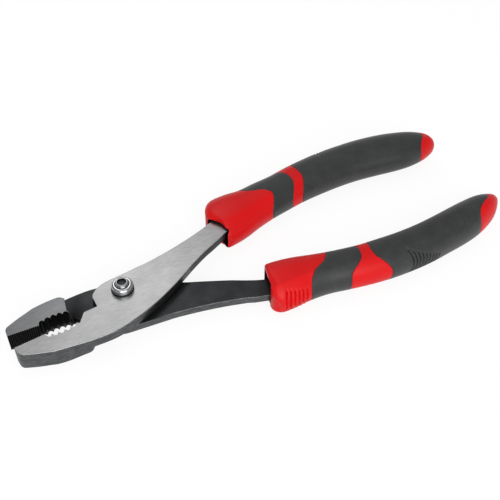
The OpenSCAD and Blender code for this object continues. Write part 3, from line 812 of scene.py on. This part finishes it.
def quarter(rising, size=SEAM, deep=SEAM, steps=4):
    """(distance along, inset) pairs of a rounded edge, that long and that deep."""
    pairs = []
    for k in range(steps + 1):
        t = math.pi / 2 * k / steps
        if rising:
            pairs.append((size * (1 - math.cos(t)), deep * (1 - math.sin(t))))
        else:
            pairs.append((-size + size * math.sin(t), deep * (1 - math.cos(t))))
    return pairs


def rings_between(edges, zone, shares, first, last, inset=0.0, lip=lambda across: 1.0):
    """Rings over a zone, each with a (share along, inset) pair for every point round the grip.
    first and last are the zone's rounded edges, and lip scales the first by the place across."""
    start = [row_at(edges[zone], v)[1] for v in ACROSS]
    end = [row_at(edges[zone + 1], v)[1] for v in ACROSS]
    lips = [lip(v) for v in ACROSS]
    low, high = first[-1][0], last[0][0]
    rings = [[(a + along * size / GRIP_LEN, depth * size) for a, size in zip(start, lips)]
             for along, depth in first]
    rings += [[((a + low * size / GRIP_LEN) * (1 - u) + (b + high / GRIP_LEN) * u, inset)
               for a, b, size in zip(start, end, lips)] for u in shares]
    return rings + [[(b + along / GRIP_LEN, depth) for b in end] for along, depth in last]


def evenly(count):
    return [k / count for k in range(1, count)]


def loft(name, sections, rings, place, material, torus):
    """Skin over the rings, with closed ends, or as a torus. Each vertex keeps its place along,
    across and in height for the ribs."""
    bm = bmesh.new()
    along = bm.verts.layers.float.new("along")
    across = bm.verts.layers.float.new("across")
    height = bm.verts.layers.float.new("height")
    up = 1 if place is rear_place else -1
    made = []
    for pairs in rings:
        ring = []
        for k, (s, inset) in enumerate(pairs):
            vert = bm.verts.new(place(grip_point(sections, s, ANGLES[k], inset, up)))
            vert[along] = s * GRIP_LEN
            vert[across] = ACROSS[k]
            vert[height] = vert.co.z / MM
            ring.append(vert)
        made.append(ring)
    join_rings(bm, made + made[:1] if torus else made)
    for ring in [] if torus else [made[0], made[-1]]:
        for k in range(RING_POINTS // 2):
            add_face(bm, [ring[k], ring[k + 1], ring[-k - 1], ring[-k]])
    return smoothed(solid(name, bm, material), 40)


def rim_size(across):
    """Size of the rounded rim: large at the outer side's lobe, and small on the inner side."""
    return 1 - FADED * smoothstep(across, -0.5, 0.4)


def core(name, sections, edges, place):
    """Red core: rounded rim at the mouth, full size in three zones, drawn in under the sleeves."""
    under = SLEEVE_WALL + 0.05
    drawn = [(0.0, under)]
    rim = quarter(True, RIM_LONG, RIM_DEEP, 12)
    rings = rings_between(edges, 0, evenly(70), rim, quarter(False), 0.0, rim_size)
    rings += rings_between(edges, 1, evenly(8), drawn, drawn, under)
    rings += rings_between(edges, 2, evenly(14), quarter(True), quarter(False))
    rings += rings_between(edges, 3, evenly(24), drawn, drawn, under)
    rings += rings_between(edges, 4, evenly(28), quarter(True), [(0.0, 0.0)])
    return loft(name, sections, rings, place, RED, False)


def sleeve(name, sections, edges, zone, shares, place):
    """Soft black sleeve over one drawn-in zone of the core."""
    wall = [(0.0, SLEEVE_WALL)]
    outer = rings_between(edges, zone, shares, quarter(True), quarter(False))
    inner = rings_between(edges, zone, evenly(12), wall, wall, SLEEVE_WALL)
    return loft(name, sections, outer + inner[::-1], place, BLACK, True)


def dense(start, end, inside, outside):
    """Shares from 0 to 1, closer together between start and end."""
    steps = [start * k / outside for k in range(1, outside)]
    steps += [start + (end - start) * k / inside for k in range(inside + 1)]
    return steps + [end + (1 - end) * k / outside for k in range(1, outside)]


# Grooves over the collar's outer lobe, and where the thumb lies
COLLAR_RIBS = {"First": 9.0, "Pitch": 1.86, "Count": 6.0, "Depth": 0.85, "Bow": 0.0,
               "Bow height": 0.0, "Lean": -4.5, "Sharpness": 3.0, "Reach": 6.2, "Fall": 0.215,
               "Bottom": -5.0, "Across high": -0.45, "Skin": RED}
THUMB_RIBS = {"First": 65.0, "Pitch": 1.63, "Count": 9.0, "Depth": 1.0, "Bow": 1.5,
              "Bow height": 1.75, "Lean": 0.0, "Sharpness": 2.4, "Reach": 6.6, "Fall": 0.4,
              "Bottom": -5.0, "Across high": -0.3, "Skin": BLACK}
# The grooves' depth in steps: a result, an operation, and what it takes, which is numbers, the
# tree's inputs, the skin's attributes or earlier results. A fade takes two places and two values.
GROOVE_STEPS = (
    # A groove leans with the place across, and bows with the height
    ("over middle", "SUBTRACT", "height", "Bow height"),
    ("rise", "MULTIPLY", "over middle", 0.2),
    ("rise squared", "MULTIPLY", "rise", "rise"),
    ("from outside", "ADD", "across", 1.0),
    ("leaning", "MULTIPLY_ADD", "from outside", "Lean", "along"),
    ("bowed", "MULTIPLY_ADD", "rise squared", "Bow", "leaning"),
    ("past first", "SUBTRACT", "bowed", "First"),
    ("turns", "DIVIDE", "past first", "Pitch"),
    # It stands at every whole turn, from the first to the last
    ("angle", "MULTIPLY", "turns", 2 * math.pi),
    ("cosine", "COSINE", "angle"),
    ("wave", "MULTIPLY_ADD", "cosine", 0.5, 0.5),
    ("groove", "POWER", "wave", "Sharpness"),
    ("starts", "FADE", "turns", -0.5, -0.35, 0.0, 1.0),
    ("past last", "SUBTRACT", "turns", "Count"),
    ("stops", "FADE", "past last", -0.65, -0.5, 1.0, 0.0),
    ("row", "MULTIPLY", "starts", "stops"),
    # Its upper end drops along the row; it also fades out below and towards the inner side
    ("past start", "SUBTRACT", "along", "First"),
    ("top", "MULTIPLY_ADD", "past start", "Fall", "height"),
    ("past top", "SUBTRACT", "top", "Reach"),
    ("upper end", "FADE", "past top", -0.8, 0.0, 1.0, 0.0),
    ("over bottom", "SUBTRACT", "height", "Bottom"),
    ("lower end", "FADE", "over bottom", 0.0, 0.8, 0.0, 1.0),
    ("ends", "MULTIPLY", "upper end", "lower end"),
    ("inwards", "SUBTRACT", "across", "Across high"),
    ("outer side", "FADE", "inwards", 0.0, 0.15, 1.0, 0.0),
    ("outer row", "MULTIPLY", "row", "outer side"),
    ("form", "MULTIPLY", "groove", "outer row"),
    # Against the normal, and in metres
    ("pressed", "MULTIPLY", "Depth", -MM),
    ("deepest", "MULTIPLY", "ends", "pressed"),
    ("move", "MULTIPLY", "form", "deepest"))


def rib_tree():
    """Geometry Nodes: grooves of one pitch pressed into the skin, along the grip and across it."""
    tree = bpy.data.node_groups.new("grip_ribs", "GeometryNodeTree")
    face = tree.interface
    face.new_socket("Geometry", in_out="INPUT", socket_type="NodeSocketGeometry")
    for label, value in THUMB_RIBS.items():
        kind = "NodeSocketMaterial" if label == "Skin" else "NodeSocketFloat"
        face.new_socket(label, in_out="INPUT", socket_type=kind).default_value = value
    face.new_socket("Geometry", in_out="OUTPUT", socket_type="NodeSocketGeometry")
    known = {socket.name: socket for socket in put(tree, "NodeGroupInput").outputs}
    for label in ("along", "across", "height"):
        known[label] = put(tree, "GeometryNodeInputNamedAttribute",
                           {"Name": label}, data_type="FLOAT").outputs["Attribute"]
    for result, operation, *takes in GROOVE_STEPS:
        values = [known[item] if isinstance(item, str) else item for item in takes]
        if operation == "FADE":
            labels = ("Value", "From Min", "From Max", "To Min", "To Max")
            made = put(tree, "ShaderNodeMapRange", dict(zip(labels, values)), clamp=True)
        else:
            made = put(tree, "ShaderNodeMath", dict(enumerate(values)), operation=operation)
        known[result] = made.outputs[0]
    normal = put(tree, "GeometryNodeInputNormal").outputs["Normal"]
    push = put(tree, "ShaderNodeVectorMath",
               {0: normal, "Scale": known["move"]}, operation="SCALE")
    moved = put(tree, "GeometryNodeSetPosition", {"Geometry": known["Geometry"], "Offset": push})
    whole = put(tree, "GeometryNodeRealizeInstances", {"Geometry": moved})
    dressed = put(tree, "GeometryNodeSetMaterial", {"Geometry": whole, "Material": known["Skin"]})
    put(tree, "NodeGroupOutput", {"Geometry": dressed})
    return tree


RIBS = rib_tree()


def press_ribs(piece, values):
    tool = piece.modifiers.new("ribs", "NODES")
    tool.node_group = RIBS
    for item in RIBS.interface.items_tree:
        if item.in_out == "INPUT" and item.name in values:
            tool[item.identifier] = values[item.name]
    applied(piece)


def pocket(place, rows=14, before=9):
    """Open pocket round the tang at the grip's mouth, with rounded corners, over that many rows
    of the tang and that many millimetres before it."""
    wider = LOWER_POCKET_WIDER if place is rear_place else 0.0
    half_height = HALF_T + POCKET_HIGH
    tang = zip(tang_side(1, POCKET_INNER)[:rows], tang_side(-1, POCKET_OUTER)[:rows])
    sides = [(p + Vector((0, wider * (1 - k / 16))), q) for k, (p, q) in enumerate(tang)]
    sides.insert(0, [point - Vector((before, 0)) for point in sides[0]])
    bm = bmesh.new()
    rings = []
    for inner, outer in sides:
        middle, half = (inner.y + outer.y) / 2, (inner.y - outer.y) / 2
        ring = []
        for y_side, z_side, start in ((1, 1, 0), (-1, 1, 90), (-1, -1, 180), (1, -1, 270)):
            centre = (y_side * (half - POCKET_CORNER), z_side * (half_height - POCKET_CORNER))
            ring += [bm.verts.new(place((inner.x, middle + y, z)))
                     for y, z in arc(POCKET_CORNER, centre, start, start + 90, 6)]
        rings.append(ring)
    join_rings(bm, rings)
    bm.faces.new(rings[0])
    bm.faces.new(rings[-1])
    # The pocket's faces carry the painted shade onto the walls that the cut leaves
    return solid("pocket", bm, MOUTH_PAINTED_SHADE)


def grip(side, sections, edges, place):
    made = core(side + "_grip_core_moulded", sections, edges, place)
    press_ribs(made, COLLAR_RIBS)
    cut(made, pocket(place))
    weight_normals(made, 40, 80)
    front = sleeve(side + "_grip_front_sleeve", sections, edges, 1, evenly(24), place)
    thumb = dense(0.1, 0.6, 150, 12)
    main = sleeve(side + "_grip_main_sleeve", sections, edges, 3, thumb, place)
    press_ribs(main, THUMB_RIBS)
    return made, front, main


upper_grip = grip("upper", UPPER_SECTIONS, UPPER_EDGES, front_place)
lower_grip = grip("lower", LOWER_SECTIONS, LOWER_EDGES, rear_place)

pieces = [(rear_lever, "rear", "rear_lever", "lever_steel"),
          (front_lever, "front", "front_lever", "lever_steel"),
          (bolt, "front", "pivot_bolt", "bolt_steel"),
          (nut, "front", "pivot_nut", "plated_nut"),
          (washer, "slip_washer", "nut_washer", "blackened_washer")]
for side, body, made in (("upper", "front", upper_grip), ("lower", "rear", lower_grip)):
    pieces += [(made[0], body, side + "_grip_core", "red_grip"),
               (made[1], body, side + "_grip_front_overmould", "black_grip"),
               (made[2], body, side + "_grip_main_overmould", "black_grip")]
for piece, body, node, finish in pieces:
    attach(piece, body)
    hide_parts(node)


# Stage
FLOOR_Z, FLOOR_HALF = -8.05 * MM, 3.0


def seen_directly(tree):
    """1 for the rays that meet the plain white studio: the camera's and the mirror ones."""
    path = put(tree, "ShaderNodeLightPath").outputs
    mirrored = put(tree, "ShaderNodeMath",
                   {0: path["Is Glossy Ray"], 1: path["Is Transmission Ray"]}, operation="MAXIMUM")
    return put(tree, "ShaderNodeMath",
               {0: path["Is Camera Ray"], 1: mirrored}, operation="MAXIMUM")


def studio_floor():
    """White paper under the tool, which stays white to the camera and keeps the shadow."""
    mesh = bpy.data.meshes.new("floor")
    corners = [(x * FLOOR_HALF, y * FLOOR_HALF, FLOOR_Z)
               for x, y in ((-1, -1), (1, -1), (1, 1), (-1, 1))]
    mesh.from_pydata(corners, [], [(0, 1, 2, 3)])
    material, tree, _ = new_material("white_paper")
    paper = put(tree, "ShaderNodeBsdfDiffuse", {"Color": linear("#f4f4f4")})
    glow = put(tree, "ShaderNodeEmission", {"Color": linear("#ffffff"), "Strength": 1.04})
    share = put(tree, "ShaderNodeMath", {0: seen_directly(tree), 1: 0.85}, operation="MULTIPLY")
    both = put(tree, "ShaderNodeMixShader", {0: share, 1: paper, 2: glow})
    put(tree, "ShaderNodeOutputMaterial", {"Surface": both})
    mesh.materials.append(material)
    floor = bpy.data.objects.new("floor", mesh)
    bpy.context.collection.objects.link(floor)


def softbox(name, place, aim, size, watts):
    data = bpy.data.lights.new(name, "AREA")
    data.shape = "RECTANGLE"
    data.size, data.size_y = size
    data.energy = watts
    lamp = bpy.data.objects.new(name, data)
    lamp.location = Vector(place) * MM
    lamp.rotation_euler = (Vector(aim) - Vector(place)).to_track_quat("-Z", "Y").to_euler()
    bpy.context.collection.objects.link(lamp)


def studio_world():
    """Light tent: a pale sweep at the horizon, a dim middle, and a bright roof."""
    world = bpy.data.worlds.new("studio")
    world.use_nodes = True
    bpy.context.scene.world = world
    tree = world.node_tree
    tree.nodes.clear()
    toward = put(tree, "ShaderNodeTexCoord").outputs["Generated"]
    height = put(tree, "ShaderNodeSeparateXYZ", {"Vector": toward}).outputs["Z"]
    roof = put(tree, "ShaderNodeMapRange",
               {"Value": height, "From Min": 0.76, "From Max": 0.94, "To Min": 0.27,
                "To Max": 1.0}, interpolation_type="SMOOTHSTEP")
    sweep = put(tree, "ShaderNodeMapRange",
                {"Value": height, "From Min": 0.12, "From Max": 0.34, "To Min": 0.7,
                 "To Max": 0.0}, interpolation_type="SMOOTHSTEP")
    strength = put(tree, "ShaderNodeMath", {0: roof, 1: sweep}, operation="ADD")
    sky = put(tree, "ShaderNodeBackground", {"Color": linear("#ffffff"), "Strength": strength})
    put(tree, "ShaderNodeOutputWorld", {"Surface": sky})


studio_floor()
softbox("front_softbox", (-80, -600, 420), (60, -20, 0), (0.7, 0.45), 4.1)
softbox("head_softbox", (91, 395, 446), (0, 0, 4), (0.22, 0.22), 0.4)
studio_world()
bpy.context.scene.view_settings.view_transform = "Standard"
